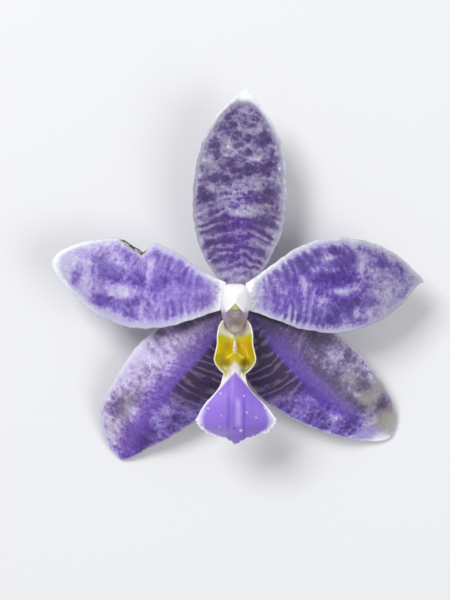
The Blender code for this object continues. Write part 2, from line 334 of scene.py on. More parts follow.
# %% The sheets' measurements
TEPALS = {
    "dorsal_sepal": {
        "root": (0.1, 2.65),
        "tip": (1.6, 39.5),
        "left": (2.0, 3.8, 6.6, 8.7, 9.1, 8.1, 5.4, 1.8, 0.1),
        "right": (2.0, 3.7, 6.1, 8.2, 8.5, 7.7, 4.8, 1.5, 0.1),
        "shift": (0.0, 0.0, 0.0, 0.0, 0.0),
        "height": (-0.2, -0.6, -0.1, 1.3, 3.4),
        "drop": (0.0, -0.4, -1.0, -1.0, 0.0),
        "fold": 0.2,
    },
    "petal_left": {
        "root": (-2.65, 0.6),
        "tip": (-35.0, 7.2),
        "left": (2.6, 3.3, 5.3, 7.8, 8.9, 7.8, 5.0, 2.2, 0.1),
        "right": (2.7, 3.1, 4.1, 6.7, 7.9, 7.0, 4.9, 2.5, 0.1),
        "shift": (0.0, 0.2, 0.3, 0.2, 0.0),
        "height": (1.3, 2.8, 3.0, 2.4, 1.0),
        "drop": (0.0, 0.5, 0.9, 0.7, 0.0),
        "fold": 0.2,
    },
    "petal_right": {
        "root": (1.85, 0.6),
        "tip": (35.3, 3.6),
        "left": (2.5, 3.2, 5.4, 8.5, 9.8, 8.6, 5.7, 1.9, 0.1),
        "right": (2.6, 3.1, 4.8, 7.2, 8.4, 7.3, 4.4, 0.9, 0.1),
        "shift": (0.0, 0.0, 0.0, 0.0, 0.0),
        "height": (1.3, 2.8, 3.0, 2.3, 0.8),
        "drop": (0.0, 0.5, 0.9, 0.7, 0.0),
        "fold": 0.2,
    },
    "lateral_sepal_left": {
        "root": (-1.72, -2.02),
        "tip": (-23.0, -31.3),
        "left": (1.6, 3.2, 6.9, 9.3, 9.4, 7.6, 4.3, 1.8, 0.1),
        "right": (1.9, 3.4, 7.0, 9.0, 9.1, 8.4, 7.6, 4.4, 0.1),
        "shift": (0.0, 0.0, -1.2, -1.4, 0.0),
        "height": (-0.2, 0.1, -1.0, -3.9, -8.72),
        "drop": (0.0, 1.9, 2.4, 1.4, 0.0),
        "fold": 0.55,
    },
    "lateral_sepal_right": {
        "root": (2.05, -1.68),
        "tip": (30.3, -26.9),
        "left": (1.9, 3.4, 6.6, 9.2, 10.0, 9.3, 6.8, 3.5, 0.1),
        "right": (1.6, 3.4, 7.6, 9.4, 8.5, 6.6, 4.5, 2.4, 0.1),
        "shift": (0.0, -1.5, -2.0, -1.6, 0.0),
        "height": (-0.2, 0.1, -1.0, -3.9, -8.72),
        "drop": (0.0, 1.9, 2.4, 1.4, 0.0),
        "fold": 0.55,
    },
}
THICK_MIDDLE, THICK_MARGIN = 0.8, 0.45
THICK_FROM, THICK_TO = 0.2, 3.0  # the sheet thickens between these distances from its margin
RINGS, FRONT_POINTS = 170, 64
print("tepals:", ", ".join(TEPALS))

# %% [markdown]
# A margin is never a perfect curve. The left petal's upper margin has been chewed, two other margins have a
# small nick, and each one waves a little. A cut takes something off the half-width over a short stretch.

# %% Bites and nicks
CUTS = {  # shares of the length where a cut starts, is deepest and ends, and its depth
    ("petal_left", "right"): (0.445, 0.5, 0.65, 2.4),
    ("petal_right", "left"): (0.60, 0.612, 0.63, 0.35),
    ("dorsal_sepal", "right"): (0.52, 0.527, 0.534, 0.25),
}
WAVE_DEPTH, WAVE_RATE = 0.06, 24.0
CREASE, CREASE_HEIGHT = 0.02, 0.14  # they round the bottom of the fold along the midline
LEAST_WIDTH = 0.05  # keeps the last ring open


def cut_depth(name, side, along):
    """How far a bite or nick cuts into this margin."""
    start, deepest, end, depth = CUTS.get((name, side), (0.0, 0.5, 1.0, 0.0))
    near = min((along - start) / (deepest - start), (end - along) / (end - deepest))
    return depth * max(near, 0.0)


def along_at(turn):
    """The share of the length that a turn reaches: equal turns take shorter steps near root and tip."""
    return (1.0 - math.cos(math.pi * turn)) / 2.0


def side_of(across):
    return "left" if across > 0.0 else "right"


def half_width_at(name, side, turn):
    """The distance from midline to margin, with its cuts and a slight wave."""
    along = along_at(turn)
    track = 5.0 if side == "left" else 9.0  # each margin waves in its own way
    wave = WAVE_DEPTH * noise.noise(Vector((along * WAVE_RATE, 3.7 * len(name), track)))
    width = spline(TEPALS[name][side], turn)
    return max(width * (1.0 + wave * 0.3) + wave - cut_depth(name, side, along), LEAST_WIDTH)


def tepal_point(name, turn, across):
    """A point on the front of a sepal or petal: turn runs from root to tip, across from -1 to 1 (left)."""
    tepal = TEPALS[name]
    along = along_at(turn)
    root = Vector(tepal["root"])
    run = Vector(tepal["tip"]) - root
    to_left = Vector((-run.y, run.x)).normalized()
    half_width = half_width_at(name, side_of(across), turn)
    place = root + along * run + to_left * (spline(tepal["shift"], along) + across * half_width)
    folded = math.sqrt(across ** 2 + CREASE) - CREASE_HEIGHT
    bow = across ** 2 * (1.0 - tepal["fold"]) + folded * tepal["fold"]
    height = spline(tepal["height"], along) - spline(tepal["drop"], along) * bow
    return Vector((place.x, place.y, height))


print("bite in the left petal, at its deepest:", cut_depth("petal_left", "right", 0.5), "mm")

# %% [markdown]
# The skin of one tepal is a loft of closed rings. Each ring point also stores where it lies, so that the
# paint can follow the organ: its distance across and along in millimetres, and its distance to the margin.
# Three more numbers are its paint: how much violet the tissue holds there, how deep the shade painted on it
# is, and how warm it looks. Below nothing, warmth means a livelier violet, and above 1 it means a scorched
# brown.

# %% Growing a sheet
REACH, REACH_ACROSS = 0.004, 0.02  # how far to each side a direction is read


def ring_shares(count):
    """Shares across the front, from -1 to 1, close together at both margins."""
    return [-math.cos(math.pi * step / count) for step in range(count + 1)]


def rounded(margin, radius):
    """How full the sheet's edge is at this distance from the margin: 0 at the margin, 1 inside it."""
    inward = min(max(margin / radius, 0.0), 1.0)
    return math.sqrt(1.0 - (1.0 - inward) ** 2)


def loft(rings):
    """Joins closed rings of points with faces and caps both ends. After its place in space, each point lists
    what the mesh stores there, under the names place, paint and back."""
    body = bmesh.new()
    layers = [body.verts.layers.float_vector.new(name) for name in ("place", "paint")]
    layers.append(body.verts.layers.float.new("back"))
    rows = []
    for ring in rings:
        rows.append([body.verts.new(point[0]) for point in ring])
        for vert, point in zip(rows[-1], ring):
            for layer, value in zip(layers, point[1:]):
                vert[layer] = value
    for low, high in zip(rows, rows[1:]):
        for side in range(len(low)):
            after = (side + 1) % len(low)
            body.faces.new((low[side], low[after], high[after], high[side]))
    body.faces.new(rows[0])
    body.faces.new(rows[-1])
    bmesh.ops.recalc_face_normals(body, faces=body.faces)
    return body


def grow_sheet(turns, shares, point, describe):
    """Lofts a fleshy sheet. point gives its front; describe gives its thickness, its distance to the margin,
    and the place and paint to store there. Its back carries the number 1 under the name back."""
    rings = []
    for turn in turns:
        front, back = [], []
        for share in shares:
            spot = point(turn, share)
            ahead = point(min(turn + REACH, 1.0), share) - point(max(turn - REACH, 0.0), share)
            low, high = max(share - REACH_ACROSS, -1.0), min(share + REACH_ACROSS, 1.0)
            normal = ahead.cross(point(turn, high) - point(turn, low))
            normal = normal.normalized() if normal.length > 1e-9 else Vector((0.0, 0.0, 1.0))
            thickness, margin, place, paint = describe(turn, share, spot)
            middle = spot - normal * thickness / 2
            swell = normal * thickness / 2 * rounded(margin, THICK_MARGIN / 2)
            front.append((middle + swell, place, paint, 0.0))
            back.append((middle - swell, place, paint, 1.0))
        rings.append(front + back[-2:0:-1])
    return loft(rings)


def grow_tepal(name, material, paint):
    """Grows one sepal or petal, with what its paint function says at every point."""
    tepal = TEPALS[name]
    length = (Vector(tepal["tip"]) - Vector(tepal["root"])).length

    def point(turn, share):
        return tepal_point(name, turn, share)

    def describe(turn, share, spot):
        along = along_at(turn)
        width = half_width_at(name, side_of(share), turn)
        margin = min((1.0 - abs(share)) * width, (1.0 - along) * length + LEAST_WIDTH)
        thickness = THICK_MARGIN + (THICK_MIDDLE - THICK_MARGIN) * ease(margin, THICK_FROM, THICK_TO)
        place = (share * width, along * length, margin)
        return thickness, margin, place, paint(along, along * length, share * width, margin)

    turns = [row / RINGS for row in range(RINGS + 1)]
    body = grow_sheet(turns, ring_shares(FRONT_POINTS), point, describe)
    add_piece(name + "_skin", body, material, name)


print("front shares near the margin:", [round(share, 3) for share in ring_shares(FRONT_POINTS)[:4]])

# %% [markdown]
# ## Violet on white
# The tissue is white, stained violet from within. Near the heart the stain lies in thin bars, arcs around
# the heart that feather out before they reach the white margin. Further out it gathers in soft blotches and
# larger clumps that run together, with a net of pale lines between them. The lateral sepals have a band of
# livelier violet along their vein, and towards the lip a hollow darkened with painted shade, which pale
# threads cross.
#
# First the amounts. On every organ the violet and the painted shade follow a few numbers along its length,
# and the larger blotches and gaps, here called dabs, have places of their own. Everything finer comes from
# noise, in the materials below.

# %% Painting the amount of violet
# violet: along the midline, from root to tip. edges: the violet at each margin, from root to tip.
# rims: how far inside each margin, in mm, its own amount starts to give way, and has given way.
# shade: the depth of painted shade from root to tip.
# ridge: more violet on the midline, how much and how wide in mm.
# vivid: livelier violet on the midline, how much, how wide in mm, and the shares where it starts and ends.
# hollow: the side darkened with painted shade, where the sheet falls away towards the lip, 1 for left and -1
# for right, the shares where it starts and ends, and its depth.
# The line of painted shade beside the vein's fold: how far to the left, how wide in mm, where it starts and
# ends, and its depth.
PROFILES = {
    "dorsal_sepal": {
        "violet": (0.2, 0.55, 0.56, 0.53, 0.50, 0.47, 0.46, 0.34, -0.2),
        "edges": {"left": (0.12, 0.1, 0.08, -0.06, -0.25), "right": (0.06, 0.0, -0.04, -0.08, -0.25)},
        "rims": {"left": (0.15, 1.5), "right": (0.2, 2.0)},
        "shade": (0.08, 0.1, 0.1, 0.1, 0.04),
        "vivid": (0.7, 4.6, 0.04, 0.42),
    },
    "petal_left": {
        "violet": (0.15, 0.54, 0.58, 0.58, 0.58, 0.58, 0.54, 0.32, -0.15),
        "edges": {"left": (-0.1, 0.0, 0.05, -0.1, -0.2), "right": (-0.2, 0.1, 0.0, -0.1, -0.25)},
        "rims": {"left": (0.4, 2.3), "right": (0.4, 1.8)},
        "shade": (0.0, 0.0, 0.05, 0.18, 0.12),
        "vivid": (0.3, 5.0, 0.1, 0.6),
    },
    "petal_right": {
        "violet": (-0.1, 0.48, 0.51, 0.57, 0.60, 0.59, 0.56, 0.42, 0.05),
        "edges": {"left": (-0.2, -0.08, -0.08, -0.08, -0.12), "right": (-0.1, 0.05, 0.05, 0.1, -0.05)},
        "rims": {"left": (0.3, 2.2), "right": (0.2, 1.8)},
        "shade": (0.0, 0.0, 0.1, 0.3, 0.36),
        "vivid": (0.4, 5.0, 0.1, 0.6),
    },
    "lateral_sepal_left": {
        "violet": (0.7, 0.60, 0.52, 0.45, 0.42, 0.46, 0.50, 0.48, 0.3),
        "edges": {"left": (0.4, 0.5, 0.6, 0.6, 0.2), "right": (0.3, 0.0, -0.15, -0.1, 0.0)},
        "rims": {"left": (0.1, 0.7), "right": (0.1, 1.6)},
        "shade": (0.45, 0.2, 0.0, 0.0, 0.0),
        "ridge": (0.18, 3.2),
        "vivid": (1.0, 2.3, 0.12, 0.9),
        "hollow": (1.0, 0.06, 0.56, 0.85),
    },
    "lateral_sepal_right": {
        "violet": (0.7, 0.64, 0.60, 0.58, 0.57, 0.55, 0.50, 0.34, -0.1),
        "edges": {"left": (0.3, 0.1, 0.0, 0.1, 0.0), "right": (0.4, 0.5, 0.4, 0.1, -0.35)},
        "rims": {"left": (0.1, 1.4), "right": (0.1, 0.8)},
        "shade": (0.45, 0.2, 0.06, 0.16, 0.1),
        "ridge": (0.18, 3.0),
        "vivid": (1.0, 2.3, 0.12, 0.7),
        "hollow": (-1.0, 0.06, 0.46, 0.9),
        "fold_shade_line": (2.1, 0.9, 0.33, 0.8, 0.42),
    },
}
DAB_STRENGTH, DAB_SOFTNESS = 0.33, 0.24  # a dab soon reaches its full strength, so blotches have an edge
DAB_END = 6.0  # the squared distance, in radii, past which a dab is too faint to count
# Each dab: along and across the organ in mm, the two radii, and how strong. A minus sign clears the tissue.
# The shade dabs are painted shade, among them the shadows that the petals cast on the lateral sepals.
DABS = {
    "dorsal_sepal": {
        "violet": (
            (32.5, 0.5, 1.5, 2.5, 0.4), (30.0, 3.0, 1.5, 1.5, 0.4), (27.0, 1.0, 1.0, 1.0, 0.4),
            (28.0, -4.0, 2.0, 1.5, 0.4), (25.5, 5.0, 1.5, 1.0, 0.4), (22.5, 0.5, 1.5, 2.5, 0.4),
            (22.5, -5.0, 1.5, 2.0, 0.4), (20.0, 5.0, 1.0, 3.0, 0.4), (17.0, 7.5, 1.5, 1.5, 0.4),
            (17.5, -4.5, 1.5, 2.5, 0.4), (12.5, -4.0, 1.5, 2.5, 0.2), (12.5, 5.0, 1.0, 2.5, 0.2),
            (36.5, 0.0, 2.0, 3.0, -0.3), (29.5, -2.0, 0.5, 2.0, -0.5), (27.5, 3.5, 1.0, 1.0, -0.5),
            (22.5, 6.0, 1.0, 1.0, -0.5), (20.0, -3.0, 1.0, 2.0, -0.5), (14.5, -3.0, 1.0, 2.0, -0.5),
            (14.0, 7.5, 1.0, 1.5, -0.5), (24.5, -2.0, 0.5, 1.5, -0.4),
            (18.5, 5.0, 0.5, 2.0, -0.4), (14.0, 1.5, 0.5, 1.5, -0.4),
        ),
        "shade": ((14.5, -4.5, 6.0, 3.5, 0.25),),
    },
    "petal_left": {
        "violet": (
            (20.5, -0.5, 2.5, 1.5, 0.4), (16.5, -1.5, 1.5, 2.0, 0.4), (24.5, -2.5, 1.5, 1.0, 0.4),
            (24.0, 0.5, 1.0, 1.5, 0.3), (28.0, 1.5, 1.0, 2.0, 0.3), (21.5, 5.0, 3.0, 1.0, 0.4),
            (17.0, 5.0, 2.0, 1.5, 0.4), (12.0, -1.0, 1.5, 1.5, 0.4), (12.0, -4.0, 1.5, 1.5, 0.4),
            (8.5, -3.0, 1.0, 2.0, 0.3), (3.0, 1.0, 1.0, 1.0, 0.4),
            (19.5, 2.5, 2.5, 1.0, -0.6), (15.5, 2.0, 1.5, 0.5, -0.4), (14.5, -2.5, 0.5, 2.5, -0.5),
            (14.5, 4.5, 0.5, 1.5, -0.4), (19.5, -2.5, 1.5, 0.5, -0.4), (26.0, 1.0, 0.5, 2.5, -0.5),
            (26.0, 4.5, 1.5, 1.5, -0.5), (20.5, 7.5, 2.5, 1.0, -0.4),
        ),
    },
    "petal_right": {
        "violet": (
            (11.5, 5.5, 2.0, 1.5, 0.4), (17.5, 7.0, 1.5, 1.0, 0.4), (19.5, 5.0, 2.0, 1.0, 0.4),
            (8.5, 3.0, 1.5, 1.5, 0.3), (14.5, 2.0, 1.5, 1.5, 0.3), (18.0, 2.0, 2.0, 1.5, 0.4),
            (26.0, 4.5, 1.0, 1.0, 0.4), (29.0, 2.0, 1.0, 1.5, 0.3), (22.0, -3.0, 2.5, 1.0, 0.4),
            (18.0, -4.0, 2.0, 1.5, 0.4), (15.5, -5.5, 1.5, 1.0, 0.3),
            (16.5, 3.5, 2.0, 0.5, -0.4), (16.5, 6.0, 1.0, 0.5, -0.5), (18.5, -0.5, 2.5, 0.5, -0.3),
            (24.5, 2.0, 1.5, 1.0, -0.5), (26.0, -1.0, 1.0, 2.0, -0.5), (26.5, -4.0, 2.0, 2.5, -0.6),
            (23.0, -5.5, 2.0, 1.0, -0.5), (14.5, -2.0, 1.0, 0.5, -0.3), (11.0, 1.5, 0.5, 2.0, -0.2),
            (13.0, 4.0, 1.0, 0.5, -0.3), (22.0, 4.0, 0.5, 1.5, -0.4), (20.0, -4.5, 0.5, 1.5, -0.3),
        ),
    },
    "lateral_sepal_left": {
        "violet": (
            (25.0, -3.0, 1.5, 1.5, 0.3), (28.0, -5.5, 1.5, 1.5, 0.3), (31.0, 1.5, 2.5, 2.5, 0.3),
            (23.0, 5.5, 1.5, 1.5, 0.3), (17.0, -7.5, 1.5, 1.0, -0.6), (16.0, -5.0, 1.0, 1.5, -0.3),
            (16.0, -1.5, 1.0, 1.0, -0.3), (23.0, 2.5, 2.0, 1.5, -0.6), (27.0, -0.5, 1.5, 1.5, -0.4),
            (22.0, -7.0, 1.5, 1.0, -0.3), (31.5, -4.0, 1.5, 1.5, -0.3),
        ),
        "shade": ((7.0, -5.0, 2.0, 2.0, 0.4), (11.0, -8.0, 1.5, 1.5, 0.5), (27.0, -4.5, 3.0, 2.5, 0.3)),
        "warm": ((28.0, -3.0, 1.5, 1.5, 0.6), (32.0, -4.0, 2.0, 1.5, 0.4), (25.0, -3.5, 2.5, 2.5, 0.5)),
    },
    "lateral_sepal_right": {
        "violet": (
            (17.5, -2.0, 1.5, 1.5, 0.3), (30.5, -2.5, 2.0, 1.5, 0.4), (24.5, -5.5, 2.0, 1.5, 0.3),
            (26.5, 5.5, 1.5, 1.5, 0.4), (32.0, 4.5, 1.5, 1.5, 0.4), (18.0, 7.0, 1.5, 1.0, -0.5),
            (23.5, 5.5, 1.5, 1.0, -0.5), (29.0, 4.0, 2.0, 1.5, -0.6), (34.5, -2.0, 3.0, 2.0, -0.8),
            (27.0, -3.0, 1.0, 1.5, -0.3), (29.0, 8.0, 3.0, 1.0, -0.5), (35.5, 2.5, 2.0, 2.0, -0.3),
        ),
        "shade": ((13.5, 6.5, 3.0, 2.5, 0.5), (5.0, 2.0, 2.5, 2.0, 0.5), (27.0, 5.5, 1.5, 1.5, 0.4),
                  (32.0, 4.5, 1.5, 1.5, 0.35)),
        "warm": (
            (35.5, 2.5, 3.0, 3.0, 1.0), (29.0, 4.0, 2.0, 2.0, 0.9), (30.0, 7.5, 3.0, 1.5, 0.7),
            (24.0, 5.0, 2.0, 2.0, 0.5), (7.5, -3.0, 2.5, 2.5, 0.4),
        ),
    },
}


def painter(name):
    """Gives the function that says how much violet, painted shade and warmth a place on this organ has."""
    profile = PROFILES[name]

    def dabbed(channel, along_mm, across_mm):
        total = 0.0
        for dab_along, dab_across, long, wide, strength in DABS[name].get(channel, ()):
            near = ((along_mm - dab_along) / long) ** 2 + ((across_mm - dab_across) / wide) ** 2
            total += strength * math.exp(-near) if near < DAB_END else 0.0
        return DAB_STRENGTH * math.tanh(total / DAB_SOFTNESS) if channel == "violet" else total

    def paint(along, along_mm, across_mm, margin):
        crest, width = profile.get("ridge", (0.0, 1.0))
        violet = spline(profile["violet"], along) + crest * hump(across_mm, width)
        violet += dabbed("violet", along_mm, across_mm)
        side = side_of(across_mm)
        edge = spline(profile["edges"][side], along)
        violet = edge + (violet - edge) * ease(margin, *profile["rims"][side])

        # Painted shade: its depth along the organ, its dabs, the line beside the vein's fold and the hollow
        # towards the lip.
        shade = spline(profile["shade"], along) + dabbed("shade", along_mm, across_mm)
        if "fold_shade_line" in profile:
            place, width, start, end, depth = profile["fold_shade_line"]
            line = between(along, start, start + 0.1, end - 0.05, end + 0.05)
            shade += depth * hump(across_mm - place, width) * line
        if "hollow" in profile:
            sign, start, end, depth = profile["hollow"]
            dark = between(along, start, start + 0.08, end - 0.14, end + 0.1)
            dark *= ease(across_mm * sign, 0.9, 2.1)
            lighter_edge = ease(along, end - 0.2, end) * (1.0 - ease(margin, 1.0, 4.0))
            shade += depth * dark * (1.0 - 0.6 * lighter_edge)

        most, width, start, end = profile["vivid"]
        vivid = most * hump(across_mm, width) * between(along, start - 0.1, start + 0.1, end, end + 0.2)
        scorch = 0.0
        if name == "petal_left" and across_mm < 0.0:
            rough = noise.noise(Vector((along_mm * 1.6, margin * 2.0, 0.0)))
            scorch = 3.0 * hump(margin, 0.6 + 0.6 * rough) * between(along, 0.46, 0.5, 0.6, 0.66)
        return (violet, shade, dabbed("warm", along_mm, across_mm) - vivid + scorch)

    return paint


print("dabs:", {name: sum(len(marks) for marks in channels.values()) for name, channels in DABS.items()})

# %% [markdown]
# Then the noise. Bars are waves of the distance from the heart, bent by one cloud and broken by another.
# Clumps and blotches are clouds in four sizes, and the net is the border between cells. Added to the painted
# violet, they make one amount, and a ramp turns it into colour, with a ramp of its own for each half of an
# organ whose halves differ. Warmth, painted shade, threads, a thin pale rim and the back are laid over it in
# turn.

# %% The stained tissue
GROUNDS = {  # white, then from no violet to the deepest; the left half first if the halves differ
    "dorsal_sepal": (
        ((238, 242, 246), (164, 163, 181), (136, 126, 163), (90, 71, 127), (65, 47, 102), (52, 36, 84)),
    ),
    "petal_left": (
        ((236, 241, 246), (190, 190, 212), (172, 158, 214), (138, 118, 192), (106, 84, 167), (82, 58, 145)),
    ),
    "petal_right": (
        ((236, 238, 248), (182, 182, 202), (154, 144, 192), (112, 92, 166), (79, 57, 138), (60, 40, 116)),
    ),
    # The left lateral sepal's left half, which falls away towards the lip, has a darker, more violet ramp:
    # its darkness is painted shade.
    "lateral_sepal_left": (
        ((226, 222, 244), (162, 150, 206), (134, 114, 188), (98, 76, 153), (70, 51, 115), (50, 34, 82)),
        ((242, 240, 253), (208, 202, 232), (186, 174, 214), (152, 132, 182), (120, 98, 152), (90, 68, 122)),
    ),
    "lateral_sepal_right": (
        ((222, 222, 235), (168, 163, 190), (134, 122, 160), (100, 84, 132), (76, 58, 102), (58, 42, 76)),
        ((248, 246, 254), (178, 168, 220), (138, 117, 196), (104, 82, 167), (74, 54, 132), (52, 36, 96)),
    ),
}
# SHADE_COLOUR and the browner one further down are the colours of painted shade.
SHADE_COLOUR = (46, 31, 68)
WARM_COLOUR = (148, 147, 128)
BACK_COLOUR = (214, 206, 222)
THREAD_COLOUR = (142, 130, 162)
RIM_COLOUR = (190, 190, 198)
SCORCH_COLOUR = (48, 34, 24)
BROWNER_SHADE_COLOUR = (54, 37, 62)
TISSUE_GLINT_COLOUR = (222, 214, 244)
BRIGHTLY_LIT_ROOT_COLOUR = (253, 253, 253)
# pitch: from bar to bar, in mm. end: how far along, in mm, the bars start to fade, and have faded. bars: how
# strong they are. beside: what is left of them at the midline. patch: the scale of the blotches. clump,
# mottle and net: how strong the clumps, the blotches and the net are. band: the vein's two violets.
PATTERNS = {
    "dorsal_sepal": {
        "pitch": 1.8, "end": (10.0, 18.0), "bars": 0.22, "beside": 0.6,
        "patch": 0.55, "clump": 0.2, "mottle": 1.2, "net": 0.4,
    },
    "petal_left": {
        "pitch": 1.5, "end": (6.0, 16.0), "bars": 0.2, "beside": 0.2,
        "patch": 0.45, "clump": 0.2, "mottle": 1.1, "net": 0.28,
    },
    "petal_right": {
        "pitch": 1.5, "end": (7.0, 18.0), "bars": 0.2, "beside": 0.3,
        "patch": 0.45, "clump": 0.17, "mottle": 1.05, "net": 0.26,
    },
    "lateral_sepal_left": {
        "pitch": 1.4, "end": (13.0, 20.0), "bars": 0.1, "beside": 0.3,
        "patch": 0.5, "clump": 0.16, "mottle": 1.2, "net": 0.28,
        "band": ((96, 70, 156), (126, 98, 182)),
    },
    "lateral_sepal_right": {
        "pitch": 1.4, "end": (13.0, 20.0), "bars": 0.1, "beside": 0.3,
        "patch": 0.56, "clump": 0.16, "mottle": 1.45, "net": 0.34,
        "band": ((80, 58, 140), (106, 82, 168)),
    },
}
THREAD_PITCH = 1.7  # from thread to thread, in mm


def tissue(name):
    """The waxy skin of one tepal."""
    skin = Finish(name + "_tissue", roughness=0.42, subsurface_weight=0.1, subsurface_scale=0.0005)
    across, along, margin = skin.stored("place")
    violet, shade, warm = skin.stored("paint")
    pattern = PATTERNS[name]
    seed = float(len(name) * 7)
    spot = skin.point(across, along, seed)

    # bars, along arcs around the heart
    reach = (across * across + (along + 5.0) * (along + 5.0)) ** 0.5
    angle = skin.maths("ARCTAN2", across, along + 2.0)
    drift = skin.cloud(skin.point(angle * 1.6, reach * 0.2, seed), 1.0)
    wave = skin.maths("SINE", (reach / pattern["pitch"] + drift * 2.8) * math.tau)
    broken = skin.cloud(skin.point(angle * 5.0, reach * 0.6, seed), 1.0)
    barred = skin.fade(along, *pattern["end"])
    beside = skin.step(abs(across), 1.0, 4.5, pattern["beside"], 1.0)
    bars = (wave * (broken * 2.4 - 0.25) * beside + (broken - 0.5) * 0.8) * pattern["bars"] * barred

    # blotches and clumps
    patches = skin.cloud(spot, pattern["patch"], detail=3.0, roughness=0.6, distortion=0.4) - 0.5
    bent = skin.cloud(skin.point(angle * 9.0, reach, seed), pattern["patch"]) - 0.5
    haze = skin.cloud(spot, 1.3, detail=4.0, roughness=0.7) - 0.5
    grain = skin.cloud(spot, 3.4, detail=3.0, roughness=0.7) - 0.5
    blotch = skin.step(patches + bent * 0.6 + haze * 0.35 + grain * 0.2, -0.15, 0.15, -0.5, 0.5)
    mottle = (blotch * (0.26 - barred * 0.1) + haze * 0.4 + grain * 0.4) * pattern["mottle"]
    clumps = skin.cloud(spot, 0.3, distortion=0.3) - 0.5
    clumps = skin.step(clumps + haze * 0.3 + grain * 0.15, -0.1, 0.1, -0.5, 0.5)
    mottle = mottle + clumps * (1.0 - barred * 0.6) * pattern["clump"]

    # the net of pale lines
    cell_place = skin.point(across * 0.65 + haze * 0.9, reach * 0.95 + haze * 0.9, seed)
    borders = {"feature": "DISTANCE_TO_EDGE"}
    cells = skin.node("ShaderNodeTexVoronoi", borders, {"Vector": cell_place, "Scale": 0.7})
    net = skin.fade(cells, 0.0, 0.08 + 0.6 * pattern["net"]) * skin.step(patches + grain, -0.25, 0.12)
    net = net * skin.step(violet, 0.05, 0.45) * (1.0 - barred * 0.5)
    mottle = mottle - net * pattern["net"]

    # the ground colours, livelier or warmer by place
    amount = violet + (bars + mottle) * skin.step(violet, 0.02, 0.35, 0.15, 1.0)
    halves = []
    for ground in GROUNDS[name]:
        stops = [(step / 5, tint(*colour)[:3]) for step, colour in enumerate(ground)]
        halves.append(skin.node("ShaderNodeValToRGB", {"stops": stops}, {0: amount * 0.8 + 0.2}))
    colour = skin.blend(skin.step(across + haze * 2.0, -1.0, 1.0), halves[-1], halves[0])
    vivid = skin.step(0.0 - warm, 0.0, 1.0)
    richer = {"Saturation": 1.0 + vivid * 0.35, "Value": 1.0 + vivid * 0.2, "Color": colour}
    colour = skin.node("ShaderNodeHueSaturation", {}, richer)
    warmth = skin.step(warm, 0.0, 1.0) * (1.0 - skin.step(amount, 0.4, 0.9) * 0.5)
    colour = skin.blend(warmth * 0.82, colour, WARM_COLOUR)

    # the vein's band, the painted shade, and the threads and the pale rim of the lateral sepals
    if "band" in pattern:
        band = skin.step(haze * 1.2 + patches * 0.9 + grain * 0.6 - warm, 0.05, 1.0, 0.0, 0.85)
        dark, light = pattern["band"]
        colour = skin.blend(band, colour, skin.blend(skin.step(grain + haze, -0.15, 0.2), light, dark))
    gloom = skin.maths("MINIMUM", skin.maths("MAXIMUM", shade, 0.0), 1.0)
    gloom = skin.step(gloom + haze * 0.25, 0.0, 0.85, 0.0, 0.92) * (1.0 + grain * 0.4 + haze * 0.3)
    shade_tone = skin.blend(skin.step(patches + haze, -0.15, 0.15), SHADE_COLOUR, BROWNER_SHADE_COLOUR)
    colour = skin.blend(gloom, colour, shade_tone)
    if "band" in pattern:
        sway = skin.cloud(skin.point(angle * 2.2, reach * 0.3, seed + 3.0), 1.0, detail=3.0)
        thread = skin.maths("SINE", (reach / THREAD_PITCH + sway * 2.4) * math.tau)
        thread = skin.step(thread + haze * 1.2, 0.1, 1.0) * skin.step(broken, 0.32, 0.48)
        thread = thread * skin.step(shade, 0.1, 0.4)
        thread = thread * skin.step(across * PROFILES[name]["hollow"][0], -0.5, 1.0)
        colour = skin.blend(thread * 0.42, colour, THREAD_COLOUR)
        colour = skin.blend(skin.fade(margin + haze * 0.3, 0.15, 0.6, 0.55), colour, RIM_COLOUR)

    # small painted highlights, the petals' white roots, the back and the scorched margin
    tissue_glints = skin.step(skin.cloud(spot, 5.0, detail=1.0), 0.72, 0.78, 0.0, 0.4)
    colour = skin.blend(tissue_glints, colour, TISSUE_GLINT_COLOUR)
    # The petals' roots are white, and painted brighter still, as where strong light falls on them.
    if name.startswith("petal"):
        colour = skin.blend(skin.fade(along + haze * 3.0, 0.2, 2.0, 0.9), colour, BRIGHTLY_LIT_ROOT_COLOUR)
    colour = skin.blend(skin.behind() * 0.55, colour, BACK_COLOUR)
    colour = skin.blend(skin.step(warm, 1.1, 1.8), colour, SCORCH_COLOUR)

    pores = skin.cloud(spot, 7.0, detail=3.0, roughness=0.6)
    veins = skin.cloud(skin.point(across * 1.8, along * 0.14, seed), 1.0, detail=1.0)
    return skin.finish(colour, pores * 0.5 + veins * 1.2, strength=0.25, distance=0.15)


for name in TEPALS:
    grow_tepal(name, tissue(name), painter(name))

# %% [markdown]
# ## The lip
# The lip is a petal cut into three lobes. Its narrow base holds two raised side lobes, which stand up like
# hands around a hollow with a keel in it, and in front of them a callus folds into an inverted V. Past the
# neck the middle lobe spreads into a blade with a ragged front. Each row of points runs from the midline to
# the margin, and the sheet is mirrored from them.

